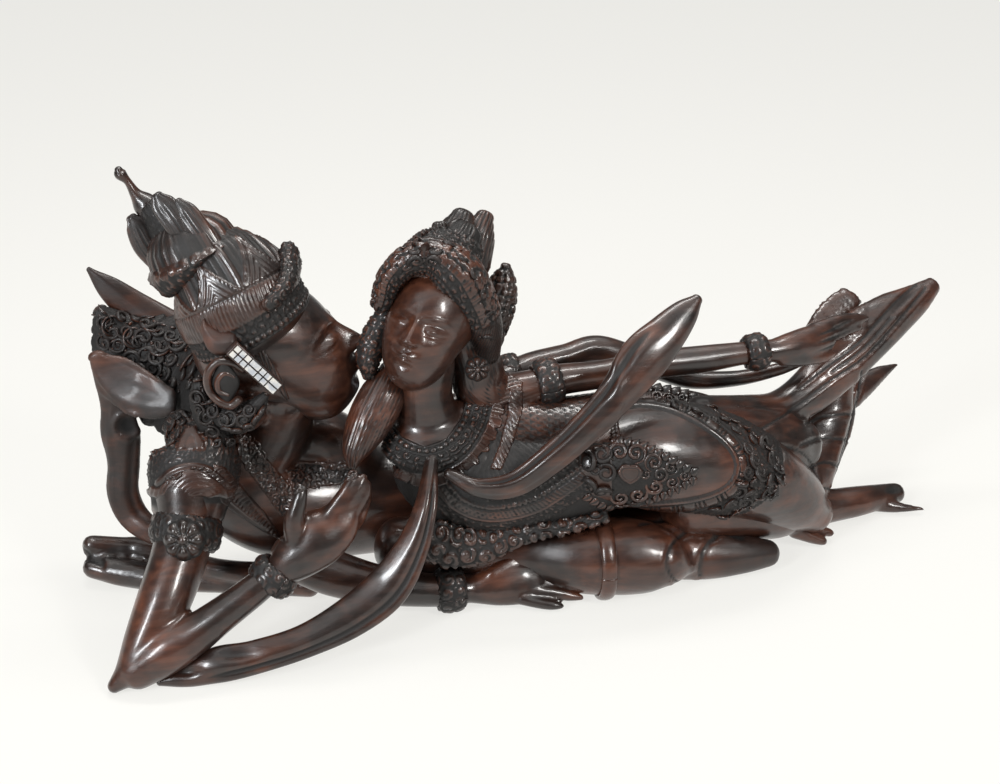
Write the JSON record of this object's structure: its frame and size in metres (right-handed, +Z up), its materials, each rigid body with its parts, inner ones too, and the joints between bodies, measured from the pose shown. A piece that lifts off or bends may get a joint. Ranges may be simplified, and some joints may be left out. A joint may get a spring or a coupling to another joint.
{
  "type": "carved reclining couple figurine",
  "caption": "Dark hardwood carving of a crowned reclining man propped on one elbow with a crowned woman lying before him, scarves and a long cloth tail sweeping to one side.",
  "frame": {"origin": "middle of the carving's footprint, on the surface it lies on", "axes": "+X along the carving from the crowned man's side to the cloth tail, -Y the shown front, +Z up"},
  "size_m": [0.6597, 0.2119, 0.3031],
  "materials": {
    "ebony_wood": "oiled and rubbed dark hardwood, reddish where rubbed, near black in the recesses",
    "pale_inlay": "polished shell or bone tiles"
  },
  "bodies": {
    "root": {"carved_couple": "ebony_wood", "ear_tile_a1": "pale_inlay", "ear_tile_a2": "pale_inlay", "ear_tile_a3": "pale_inlay", "ear_tile_a4": "pale_inlay", "ear_tile_a5": "pale_inlay", "ear_tile_a6": "pale_inlay", "ear_tile_a7": "pale_inlay", "ear_tile_b1": "pale_inlay", "ear_tile_b2": "pale_inlay", "ear_tile_b3": "pale_inlay", "ear_tile_b4": "pale_inlay", "ear_tile_b5": "pale_inlay", "ear_tile_b6": "pale_inlay", "ear_tile_b7": "pale_inlay"}
  },
  "joints": []
}
